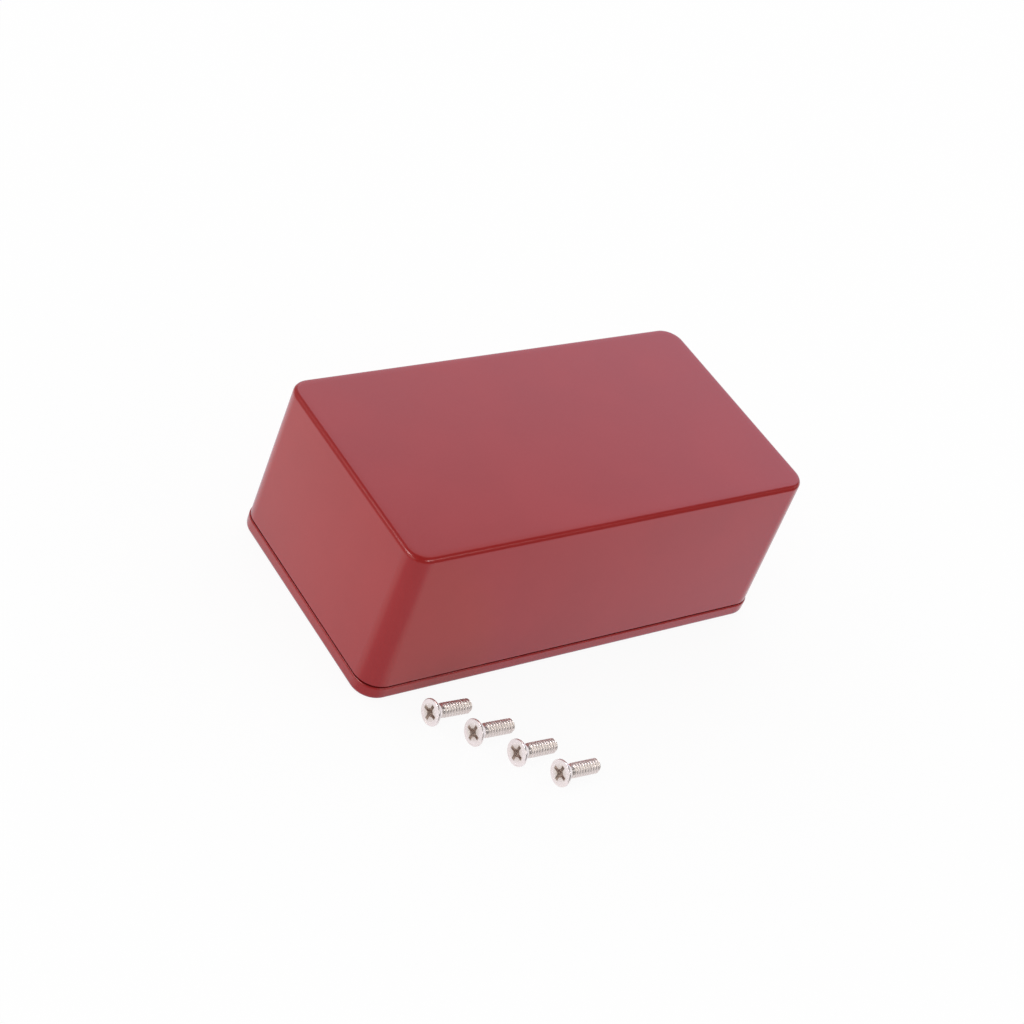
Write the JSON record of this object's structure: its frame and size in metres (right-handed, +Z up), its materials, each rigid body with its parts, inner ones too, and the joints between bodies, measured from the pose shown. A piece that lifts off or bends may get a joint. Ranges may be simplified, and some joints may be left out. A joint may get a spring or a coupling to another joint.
{
  "type": "electronics enclosure",
  "caption": "Red painted die-cast electronics enclosure with drafted walls and rounded corners, standing on its lid, the countersunk lid screws laid out beside it.",
  "frame": {"origin": "middle of the lid's underside, on the surface that the enclosure stands on", "axes": "+X along the long side, +Y along the short side away from the laid-out screws, +Z up from the lid to the top panel"},
  "size_m": [0.112, 0.0955, 0.0418],
  "materials": {
    "red_paint": "satin",
    "nickel_plate": "polished"
  },
  "bodies": {
    "lid": {"lid": "red_paint", "lid_screws": "nickel_plate"},
    "box": {"box": "red_paint"}
  },
  "joints": [
    {"name": "box_lift", "type": "slide", "parent": "lid", "child": "box", "axis": [0, 0, 1], "range_m": [0, 0.06]}
  ]
}
